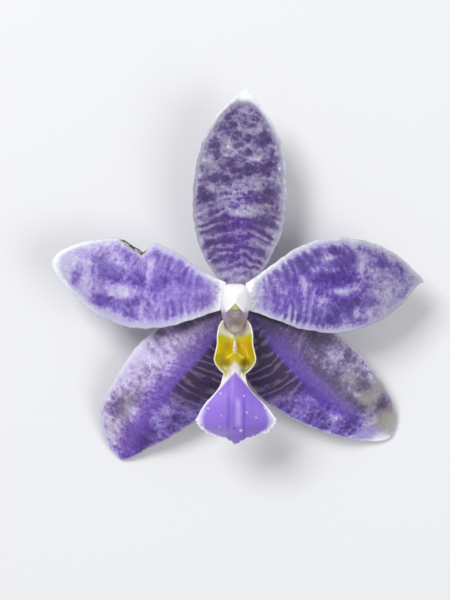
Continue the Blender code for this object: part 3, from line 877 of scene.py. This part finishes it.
# %% The lip's measurements
LIP_BASE = (
    ((0.0, -6.2, 2.4), (0.9, -6.0, 2.6), (1.7, -5.1, 3.3), (2.0, -4.4, 4.3), (2.1, -3.8, 5.1)),
    ((0.0, -6.9, 2.7), (1.0, -6.8, 2.6), (2.05, -6.1, 3.4), (2.5, -5.3, 4.7), (2.7, -4.7, 5.9)),
    ((0.0, -7.8, 3.3), (1.0, -7.7, 2.7), (2.2, -7.3, 3.4), (2.85, -6.7, 5.0), (3.05, -6.3, 6.4)),
    ((0.0, -8.6, 4.5), (1.0, -8.7, 2.9), (2.2, -8.5, 3.5), (2.85, -8.4, 5.2), (3.1, -8.2, 6.6)),
    ((0.0, -9.7, 6.4), (1.1, -9.9, 4.6), (2.3, -10.0, 3.9), (3.05, -9.9, 5.2), (3.45, -9.8, 6.7)),
    ((0.0, -10.7, 6.5), (1.1, -11.0, 5.6), (2.3, -11.3, 4.5), (3.15, -11.3, 5.2), (3.65, -11.2, 6.6)),
    ((0.0, -12.1, 6.4), (0.9, -12.3, 5.6), (1.9, -12.7, 4.5), (2.5, -12.7, 5.0), (2.85, -12.6, 6.2)),
    ((0.0, -13.4, 6.4), (0.7, -13.5, 6.1), (1.2, -13.6, 5.4), (1.6, -13.6, 5.4), (1.85, -13.6, 6.0)),
    ((0.0, -14.6, 6.8), (0.7, -14.6, 6.5), (1.3, -14.6, 6.0), (1.8, -14.6, 5.7), (2.2, -14.6, 5.7)),
)
# Y at the midline and at the margin, half-width, Z at the midline and at the margin, and how the row bends.
LIP_BLADE = (
    (-16.0, -16.0, 2.75, 7.2, 5.8, 1.0),
    (-17.5, -17.5, 3.85, 7.4, 5.9, 1.0),
    (-19.2, -19.2, 5.5, 7.5, 5.8, 1.0),
    (-21.2, -21.2, 6.9, 7.1, 5.3, 1.0),
    (-23.2, -22.5, 7.25, 6.5, 4.9, 0.9),
    (-25.2, -23.6, 6.7, 5.6, 4.5, 0.8),
    (-26.9, -24.5, 5.7, 4.9, 4.4, 0.65),
)
LIP_ROWS = list(LIP_BASE)
for middle_y, margin_y, half_width, middle_z, margin_z, bend in LIP_BLADE:
    LIP_ROWS.append(tuple(
        (half_width * share, middle_y + (margin_y - middle_y) * share ** bend,
         middle_z + (margin_z - middle_z) * share ** 1.5)
        for share in (0.0, 0.25, 0.5, 0.75, 1.0)
    ))
LIP_MIDDLE, LIP_MARGIN = 0.5, 0.32  # thickness
LIP_LENGTH = 20.0  # roughly, along its curved midline
TOOTH_WIDTH = 0.95
print(len(LIP_ROWS), "rows")

# %% Growing the lip
def lip_relief(x, y):
    """How far the small forms lift the lip: the keel, the V of the callus, the pits and the blade's folds."""
    side = abs(x)
    keel = 0.35 * hump(x, 0.12 + 0.1 * ease(-y, 7.2, 9.5)) * between(-y, 6.8, 7.8, 9.3, 9.9)
    crest = 0.22 * hump(y + 9.6 + 0.75 * side, 0.2) * (1.0 - ease(side, 1.3, 2.1))
    pit = -0.35 * hump(math.hypot(side - 1.95, y + 11.9), 0.8)
    blade = ease(-y, 15.0, 19.0)
    folds = 0.12 * hump(x - 0.5, 0.5) - 0.12 * hump(x + 1.2, 0.35) - 0.14 * hump(x - 1.6, 0.35)
    waves = 0.12 * noise.noise(Vector((x * 0.35, y * 0.35, 2.0))) + 0.05 * noise.noise(Vector((x, y, 7.0)))
    return keel + crest + pit + blade * (folds + waves)


def lip_row(turn):
    """Five points from the midline to the margin."""
    return tuple(spline(column, turn) for column in zip(*LIP_ROWS))


def lip_point(turn, across):
    """A point on the lip's front, with its ragged margin."""
    x, y, z = spline(lip_row(turn), abs(across))
    x = math.copysign(x, across)
    z += lip_relief(x, y)
    front = ease(turn, 0.955, 1.0)
    flank = ease(abs(across), 0.93, 1.0) * ease(turn, 0.80, 0.86)
    around = x if front > flank else math.copysign(5.7 + (1.0 - turn) * LIP_LENGTH, x)
    drift = noise.noise(Vector((around * 0.55, 3.0, 0.0)))
    depth = 0.36 + 0.35 * noise.noise(Vector((around * 0.8, 8.0, 0.0)))
    tooth = abs(math.sin(math.pi * around / TOOTH_WIDTH + 3.0 * drift)) * depth
    outward = Vector((x / 7.0, -0.2 - front, 0.0)).normalized() * tooth * max(front, flank)
    sway = 0.45 * ease(-y, 17.5, 23.0) - 0.2 * ease(-y, 12.5, 15.0)
    return Vector((LEAN + sway + x, y, z)) + outward


def near_spots(spots, x, y):
    """How much of a spot lies here. Each spot has a place and a radius."""
    return min(sum(hump(math.hypot(x - spot_x, y - spot_y), radius) for spot_x, spot_y, radius in spots), 1.0)


# Glints are small painted highlights; specks are dark marks on the tissue.
GLINTS = (  # x, y and radius
    (-5.0, -20.1, 0.16), (-5.5, -20.7, 0.1), (-2.7, -17.3, 0.14), (1.6, -17.7, 0.13), (2.2, -20.8, 0.15),
    (3.9, -21.8, 0.14), (1.1, -24.2, 0.22), (5.5, -20.1, 0.12), (-2.5, -21.4, 0.1), (-2.9, -23.5, 0.1),
)
SPECKS = ((-0.1, -23.8, 0.22), (-6.2, -23.3, 0.16), (-5.6, -23.8, 0.14), (-0.1, -8.95, 0.12))


def describe_lip(turn, share, spot):
    """The lip's thickness and margin here, where it is, and its glints and dark specks."""
    row = [Vector(point) for point in lip_row(turn)]
    arc = sum((after - before).length for before, after in zip(row, row[1:]))
    margin = min((1.0 - abs(share)) * arc, (1.0 - turn) * LIP_LENGTH)
    thickness = LIP_MARGIN + (LIP_MIDDLE - LIP_MARGIN) * ease(margin, 0.2, 2.0)
    x, y = spot.x - LEAN, spot.y
    return thickness, margin, (x, y, margin), (near_spots(GLINTS, x, y), near_spots(SPECKS, x, y), 0.0)


print("relief on the keel:", round(lip_relief(0.0, -9.0), 2), "mm")

# %% [markdown]
# The lip's colours are laid on like glazes, each over the last. The base is cream with a yellow hollow,
# partly darkened by painted shade, the yellow deepens into ochre pits, painted shade in them, the neck is
# olive, painted shade in its grooves, and white, and a violet wedge opens into the blade. The keel's pale
# cream is partly painted light, and the glints are painted highlights.

# %% The lip's tissue
def throat_glazes(skin, x, side, down, margin, loose):
    """The colours from the base to where the blade begins. loose lets the glazes' borders wander."""
    cream = skin.blend(skin.step(down, 5.0, 7.0), (248, 245, 240), (240, 234, 226))
    # The side lobes' yellow, lighter on the left and darker towards the middle and on the right, is partly
    # painted light and shade in the hollow.
    left = skin.blend(skin.step(x, -2.9, -0.8), (236, 210, 0), (196, 170, 0))
    right = skin.blend(skin.step(x, 0.6, 2.8), (196, 166, 0), (204, 170, 0))
    yellow = skin.blend(skin.step(x, -0.4, 0.6), left, right)
    yellow = skin.blend(skin.fade(down - side * 0.1, 6.2, 8.2, 0.85), yellow, (204, 214, 2))
    yellow = skin.blend(skin.step(down, 9.4, 10.6), yellow, (196, 178, 14))
    top = skin.step(down + side * 0.3 + loose * 0.6, 6.7, 7.6)
    colour = skin.blend(top * skin.fade(down, 11.9, 13.0), cream, yellow)

    # The pits darken to ochre: painted shade.
    pit = abs(side - 1.9) ** 2.0 + (down - 11.7) ** 2.0 * 0.8
    shaded_pit_colour = skin.blend(skin.step(x, -1.0, 1.0), (158, 132, 24), (132, 110, 0))
    colour = skin.blend(skin.fade(pit + loose * 0.5, 0.15, 1.5, 0.85), colour, shaded_pit_colour)
    # A greyer beige near the margin, from the pits' level downwards.
    grey_beige_margin = skin.fade(margin, 0.5, 1.6, 0.6) * skin.step(down, 10.6, 12.2)
    colour = skin.blend(grey_beige_margin, colour, (190, 178, 150))

    # The keel's pale cream is partly painted light, where the ridge rises into the light.
    keel = skin.fade(side - skin.step(down, 7.2, 9.4, 0.12, 0.42), -0.06, 0.08)
    colour = skin.blend(keel * skin.band(down, 7.1, 7.6, 9.3, 9.8), colour, (240, 236, 214))
    thread = skin.fade(side, 0.08, 0.25, 0.7) * skin.band(down, 6.0, 6.6, 7.3, 7.7)
    colour = skin.blend(thread, colour, (160, 184, 118))
    crest = skin.fade(abs(down - 9.6 - side * 0.75), 0.08, 0.32, 0.9) * skin.fade(side, 1.4, 2.0)
    colour = skin.blend(crest, colour, (234, 216, 84))

    # The neck's olive is painted shade in its grooves, darker on the right.
    neck_shade_colour = skin.blend(skin.step(x, -0.6, 0.6), (196, 186, 128), (150, 152, 88))
    colour = skin.blend(skin.band(down, 12.0, 13.2, 14.6, 15.8), colour, neck_shade_colour)
    wedge = skin.fade(side - (down - 11.2) * 0.5 + loose * 0.4, -0.1, 0.45) * skin.step(down, 11.0, 11.9)
    colour = skin.blend(wedge, colour, (226, 216, 218))
    colour = skin.blend(skin.step(down + side * 0.35, 14.4, 15.6), colour, (230, 224, 222))
    return skin.blend(skin.step(down, 16.5, 18.5), colour, (240, 234, 248))


def blade_violet(skin, x, down, soft):
    """The blade's violet, with darker stripes, a pale one between them and a greyer bloom at the front."""
    violet = skin.blend(skin.step(x, -6.0, 6.0), (151, 117, 220), (134, 102, 206))
    violet = skin.blend(skin.step(down, 22.5, 26.0, 0.0, 0.75), violet, (124, 104, 176))
    stripes = skin.fade(abs(x + 1.25 + soft * 0.8), 0.0, 0.55, 0.6)
    stripes = stripes + skin.fade(abs(x - 1.65 + soft * 0.5), 0.0, 0.4, 0.9)
    fans = skin.cloud(skin.point(x / (down - 10.0) * 22.0, down * 0.12), 1.0)
    stripes = stripes + skin.step(fans, 0.55, 0.75, 0.0, 0.45) + skin.step(soft, 0.05, 0.3, 0.0, 0.3)
    stripes = stripes * skin.step(down, 16.5, 19.0, 0.35, 1.0) * skin.step(down, 24.6, 26.0, 1.0, 0.4)
    violet = skin.blend(skin.maths("MINIMUM", stripes, 1.0) * 0.75, violet, (90, 64, 174))
    pale = skin.fade(abs(x - 0.55), 0.2, 0.7, 0.6) * skin.band(down, 17.5, 19.0, 22.5, 24.0)
    violet = skin.blend(pale, violet, (186, 164, 234))
    bloom = skin.fade(x + (down - 25.4) * 0.6, -2.5, 0.3, 0.6) * skin.step(down, 23.0, 25.0)
    return skin.blend(bloom, violet, (158, 142, 198))


def lip_tissue():
    skin = Finish("lip_tissue", roughness=0.48, subsurface_weight=0.12, subsurface_scale=0.0006)
    x, y, margin = skin.stored("place")
    glint, speck, _ = skin.stored("paint")
    side = abs(x)
    down = 0.0 - y
    spot = skin.point(x, y)
    soft = skin.cloud(spot, 0.9, detail=3.0) - 0.5
    fine = skin.cloud(spot, 3.5, detail=3.0) - 0.5
    loose = soft * 0.5 + fine * 0.25
    colour = throat_glazes(skin, x, side, down, margin, loose)

    opened = skin.fade(side - (down - 13.3) * 0.88 + loose * 0.4, -0.3, 0.25) * skin.step(down, 13.1, 13.5)
    corner = skin.step(side, 4.0, 6.6) * skin.step(down, 18.0, 21.0)
    inside = skin.step(margin + loose * 0.8 - corner * 0.2, 0.0, corner * 1.5 + 0.45) ** 0.6
    colour = skin.blend(opened * inside, colour, blade_violet(skin, x, down, soft))

    rim = skin.fade(margin + fine * 0.3, 0.0, skin.step(down, 12.0, 15.0, 0.24, 0.36), 0.9)
    rim_colour = skin.blend(skin.step(down, 13.0, 16.0), (226, 222, 172), (244, 238, 250))
    colour = skin.blend(rim, colour, rim_colour)
    # painted highlights at the glints
    colour = skin.blend(glint, colour, (238, 228, 255))
    colour = skin.blend(speck * 0.75, colour, (58, 56, 50))
    colour = skin.blend(skin.behind() * 0.5, colour, (220, 212, 226))

    cells = skin.cloud(spot, 9.0)
    return skin.finish(colour, cells * 0.6 + soft * 1.0 + glint * 2.0, strength=0.3, distance=0.12)


LIP_RINGS, LIP_FRONT_POINTS = 190, 96
turns = [row / LIP_RINGS for row in range(LIP_RINGS)] + [0.9965, 0.9985, 1.0]
lip_body = grow_sheet(turns, ring_shares(LIP_FRONT_POINTS), lip_point, describe_lip)
add_piece("lip_skin", lip_body, lip_tissue(), "lip")

# %% [markdown]
# ## The column
# Pollen and stigma sit on one stout column that leans forward over the lip. It is a loft of rings whose
# upper side grows more and more pointed. Its end is a sloping face, closed by shrinking rings, with the
# stigma hollowed into the lower half.

# %% The column
COLUMN_RINGS = (  # y and z, lean in degrees, half-depth, half-width, and how pointed the upper side is
    (0.0, -1.0, 0.0, 2.1, 1.95, 0.0),
    (0.1, 0.5, 0.0, 2.4, 1.9, 0.0),
    (-0.5, 1.9, 8.0, 3.5, 2.0, 0.0),
    (-1.4, 3.3, 17.0, 4.45, 2.6, 0.05),
    (-2.7, 5.2, 30.0, 4.2, 2.05, 0.7),
    (-3.45, 6.4, 39.0, 3.8, 1.85, 1.0),
)
SHOULDER = 0.42  # the share of the upper half-depth above which a pointed ring narrows
SQUARENESS = 4.2  # of a blunt ring's upper side, where 2 would be round
COLUMN_SIDES, COLUMN_STEPS, FACE_RINGS = 120, 80, 40
GAP = 0.3  # between the organs that lie on the end face and the face


def column_point(step, angle, inward=0.0):
    """A point on the column at a share of its length and an angle around it, or inward from there."""
    y, z, lean, depth, width, pointed = spline(COLUMN_RINGS, step)
    lean = math.radians(lean)
    up = math.sin(angle)
    arch = math.sqrt(1.0 - up ** 2)
    if up > 0.0:
        square = (1.0 - up ** SQUARENESS) ** (1 / SQUARENESS)
        arch = square + (min((1.0 - up) / (1.0 - SHOULDER), 1.0) - square) * pointed
    size = (1.0 - inward) * (1.0 - 0.05 * ease(step, 0.93, 1.0))
    x = math.copysign(width * arch * size, math.cos(angle))
    return Vector((LEAN + x, y + depth * up * size * math.cos(lean), z + depth * up * size * math.sin(lean)))


def on_column_end(across, up, out):
    """Turns a place across, up and out from the column's sloping end face into the flower's frame."""
    y, z, lean = COLUMN_RINGS[-1][:3]
    lean = math.radians(lean)
    rise = Vector((0.0, math.cos(lean), math.sin(lean)))
    outward = Vector((0.0, -math.sin(lean), math.cos(lean)))
    return Vector((LEAN + across, y, z)) + rise * up + outward * out


def grow_column():
    """Lofts the sides, then closes the bulging end face with shrinking rings, around the stigma's hollow."""
    centre = on_column_end(0.0, 0.0, 0.0)
    outward = on_column_end(0.0, 0.0, 1.0) - centre
    rise = on_column_end(0.0, 1.0, 0.0) - centre
    rings = []
    for row in range(COLUMN_STEPS + FACE_RINGS):
        inward = max(row - COLUMN_STEPS, 0) / FACE_RINGS
        before_rim = min(row / COLUMN_STEPS - 1.0, 0.0) * 4.0
        bulge = 0.3 * math.sqrt(1.0 - (1.0 - inward) ** 2)
        ring = []
        for side in range(COLUMN_SIDES):
            spot = column_point(min(row / COLUMN_STEPS, 1.0), math.tau * side / COLUMN_SIDES, inward)
            up = (spot - centre).dot(rise)
            hollow = hump(math.hypot((spot.x - LEAN) / 1.1, (up + 1.7) / 1.4), 0.75) * ease(inward, 0.0, 0.3)
            where = spot + outward * (bulge - 0.9 * hollow)
            ring.append((where, (spot.x - LEAN, spot.y, spot.z), (up, inward + before_rim, hollow)))
        rings.append(ring)
    return loft(rings)


def column_tissue():
    """Waxy white, with a mauve-grey end face that is partly its own tint and partly painted shade."""
    skin = Finish("column_tissue", roughness=0.35, subsurface_weight=0.12, subsurface_scale=0.0006)
    x, y, z = skin.stored("place")
    up, rim, hollow = skin.stored("paint")
    spot = skin.point(x, y, z)
    soft = skin.cloud(spot, 1.0, detail=3.0) - 0.5
    white = skin.blend(skin.step(soft, 0.05, 0.3, 0.0, 0.35), (252, 252, 249), (236, 232, 240))
    white = skin.blend(skin.fade(z, -1.0, 1.5, 0.6), white, (222, 224, 204))
    white = skin.blend(skin.fade(y + soft * 0.4, -2.8, -1.2, 0.8), white, (170, 153, 184))
    # The end face's mauve-grey is partly painted shade, where the face turns away from the light, and the
    # stigma's hollow is painted darker still, as shade.
    mauve = skin.blend(skin.step(up, -3.6, -0.4), (182, 172, 168), (164, 149, 160))
    mauve = skin.blend(hollow * 0.3, mauve, (154, 139, 148))
    mauve = skin.blend(skin.step(soft, -0.2, 0.3, 0.0, 0.3), mauve, (142, 126, 138))
    ochre = (x - 1.25) ** 2.0 * 6.0 + (up + 1.0) ** 2.0 * 0.9
    mauve = skin.blend(skin.fade(ochre, 0.1, 0.9, 0.7), mauve, (168, 140, 96))
    lower = skin.fade(up, -1.5, 2.0, 0.3)
    colour = skin.blend(skin.step(rim + soft * 0.05 + lower, -0.02, 0.1), white, mauve)
    return skin.finish(colour, soft, strength=0.25, distance=0.15)


add_piece("column_skin", grow_column(), column_tissue(), "column")

# %% [markdown]
# ## The cap and the pollen
# A loose cap, pointed above and blunt below, covers two waxy yellow pollen masses. They hang on a strap with
# a sticky disc at its end. All of them are placed on the column's sloping end face.

# %% The cap
CAP_STATIONS = (  # up the face, half-width, height
    (4.05, 0.05, 0.1),
    (3.6, 0.42, 0.45),
    (3.1, 0.78, 0.8),
    (2.6, 1.05, 1.0),
    (2.1, 1.22, 1.05),
    (1.6, 1.22, 1.0),
    (1.1, 1.0, 0.85),
    (0.7, 0.6, 0.6),
    (0.5, 0.2, 0.4),
)
CAP_THICKNESS = 0.3


def cap_point(turn, share):
    """A point on the cap's outside, from its upper point to its blunt lower end."""
    up, half_width, height = spline(CAP_STATIONS, turn)
    across = share * half_width
    knob = 0.28 * hump(math.hypot(across, up - 1.95), 0.42) - 0.12 * hump(up - 2.75, 0.2)
    return on_column_end(across, up, GAP + 0.05 + (height + knob) * math.sqrt(max(1.0 - share ** 2, 0.0)))


def describe_cap(turn, share, spot):
    """The cap's thickness and margin, and its place up and across the face."""
    up, half_width, _ = spline(CAP_STATIONS, turn)
    edge = min((1.0 - abs(share)) * half_width * 1.4, (1.0 - turn) * 4.0, turn * 4.0)
    return CAP_THICKNESS, edge, (share * half_width, up, 0.0), (0.0, 0.0, 0.0)


def cap_tissue():
    skin = Finish("cap_tissue", roughness=0.38, subsurface_weight=0.1, subsurface_scale=0.0005)
    across, up, _ = skin.stored("place")
    soft = skin.cloud(skin.point(across, up), 1.6, detail=3.0) - 0.5
    # Mauve-grey below the green point, partly painted shade, with a painted highlight along the lower edge of
    # the knob.
    mauve = skin.blend(skin.step(up, 0.5, 2.6), (170, 154, 164), (148, 133, 141))
    ring = abs((across ** 2.0 + (up - 2.0) ** 2.0) ** 0.5 - 0.42)
    knob_highlight = skin.fade(ring, 0.05, 0.24, 0.95) * skin.fade(up, 1.6, 2.1)
    mauve = skin.blend(knob_highlight, mauve, (224, 216, 218))
    green = skin.blend(skin.step(soft, -0.15, 0.2), (174, 178, 118), (152, 155, 96))
    colour = skin.blend(skin.step(up + soft * 0.3, 2.75, 3.0), mauve, green)
    colour = skin.blend(skin.fade(abs(up - 2.85), 0.03, 0.2, 0.5), colour, (110, 106, 74))
    colour = skin.blend(skin.behind() * 0.6, colour, (222, 216, 200))
    return skin.finish(colour, soft, strength=0.25, distance=0.1)


CAP_RINGS, CAP_FRONT_POINTS = 60, 40
cap_turns = [along_at(row / CAP_RINGS) for row in range(CAP_RINGS + 1)]
cap_body = grow_sheet(cap_turns, ring_shares(CAP_FRONT_POINTS), cap_point, describe_cap)
add_piece("cap_skin", cap_body, cap_tissue(), "anther_cap")

# %% The pollen
POLLEN = {  # across, up and out from the end face, then the radii the same way
    "pollen_left": ((-0.42, 1.95, 0.58), (0.37, 0.42, 0.24)),
    "pollen_right": ((0.42, 1.95, 0.58), (0.37, 0.42, 0.24)),
    "strap": ((0.0, 1.42, 0.48), (0.26, 0.72, 0.13)),
    "sticky_disc": ((0.0, 0.82, 0.46), (0.26, 0.2, 0.12)),
}


def grow_pollen():
    """Four smooth eggs, each sunk a little into the next."""
    body = bmesh.new()
    place_layer = body.verts.layers.float_vector.new("place")
    for centre, radii in POLLEN.values():
        made = bmesh.ops.create_uvsphere(body, u_segments=36, v_segments=24, radius=1.0)["verts"]
        for vert in made:
            offset = [middle + radius * part for middle, radius, part in zip(centre, radii, vert.co)]
            vert[place_layer] = offset
            vert.co = on_column_end(*offset)
    return body


def pollen_wax():
    skin = Finish("pollen_wax", roughness=0.3)
    across, up, out = skin.stored("place")
    soft = skin.cloud(skin.point(across, up, out), 5.0, detail=3.0)
    waxy = skin.blend(soft, (232, 188, 60), (206, 142, 24))
    colour = skin.blend(skin.fade(up, 1.3, 1.6, 0.8), waxy, (226, 214, 176))
    return skin.finish(colour, soft, strength=0.3, distance=0.04)


add_piece("pollen_skin", grow_pollen(), pollen_wax(), "pollinarium")

# %% [markdown]
# ## The stalk
# Behind the flower the ribbed ovary bends over and narrows into the pedicel. Its six ribs twist a little
# and fade out, and its cut end shows pale flesh with a ring of darker vessels.

# %% The stalk
STALK_ROUTE = (  # x, y, z and radius
    (0.0, 0.1, -1.4, 1.75),
    (0.0, 0.3, -3.2, 1.75),
    (0.1, 1.8, -5.3, 1.7),
    (0.2, 4.8, -6.9, 1.65),
    (0.3, 9.4, -7.8, 1.5),
    (0.4, 15.0, -8.15, 1.3),
    (0.5, 21.5, -8.3, 1.2),
    (0.7, 28.5, -8.3, 1.2),
)
STALK_SIDES, STALK_STEPS, CUT_RINGS = 96, 200, 12
STALK_LENGTH = 34.0  # roughly, along its bend
RIBS, RIB_DEPTH, RIB_TWIST = 6, 0.07, 0.9


def grow_stalk():
    """Lofts the stalk along its route, rounds the lip of its cut and closes the cut with rings."""
    rings = []
    for row in range(STALK_STEPS + CUT_RINGS):
        share = min(row / STALK_STEPS, 1.0)
        inward = max(row - STALK_STEPS, 0) / CUT_RINGS
        x, y, z, radius = spline(STALK_ROUTE, share)
        ahead, behind = (Vector(spline(STALK_ROUTE, share + reach)[:3]) for reach in (0.01, -0.01))
        heading = (ahead - behind).normalized()
        side = heading.cross(Vector((1.0, 0.0, 0.0))).normalized()
        other = heading.cross(side)
        ring = []
        for corner in range(STALK_SIDES):
            angle = math.tau * corner / STALK_SIDES
            cosine, sine = math.cos(angle), math.sin(angle)
            rib = math.cos(RIBS * (angle + RIB_TWIST * share))
            rough = 0.012 * noise.noise(Vector((cosine * 2.0, sine * 2.0, share * 30.0)))
            size = radius * (1.0 - RIB_DEPTH * (1.0 - share) * (1.0 - rib) + rough)
            size *= (1.0 - inward) * (1.0 - 0.06 * ease(share, 0.994, 1.0))
            where = Vector((x, y, z)) + (other * cosine + side * sine) * size
            ring.append((where, (share * STALK_LENGTH, inward, 0.0), (rib * (1.0 - share), cosine, sine)))
        rings.append(ring)
    return loft(rings)


def stalk_skin():
    skin = Finish("stalk_skin", roughness=0.45)
    along, inward, _ = skin.stored("place")
    rib, cosine, sine = skin.stored("paint")
    around = skin.point(cosine * 1.6, sine * 1.6, along)
    mottle = skin.cloud(around, 1.1, detail=4.0, roughness=0.6)
    fibre = skin.cloud(skin.point(cosine * 9.0, sine * 9.0, along * 0.35), 1.0, detail=2.0)
    green = skin.blend(mottle, (86, 112, 52), (132, 152, 84))
    green = skin.blend(skin.step(rib, -0.2, 1.0, 0.0, 0.4), green, (162, 178, 116))
    purple = skin.step(skin.cloud(around, 3.2, detail=3.0), 0.56, 0.68, 0.0, 0.55)
    green = skin.blend(purple, green, (96, 70, 78))
    green = skin.blend(skin.fade(along, 0.0, 4.0, 0.6), green, (206, 208, 184))
    vessels = skin.fade(abs(inward - 0.45), 0.03, 0.12, 0.6)
    flesh = skin.blend(vessels, (206, 210, 164), (132, 138, 84))
    colour = skin.blend(skin.step(inward, 0.02, 0.12), green, flesh)
    return skin.finish(colour, fibre * 0.8 + mottle * 0.5, strength=0.4, distance=0.15)


add_piece("pedicel_skin", grow_stalk(), stalk_skin(), "pedicel")
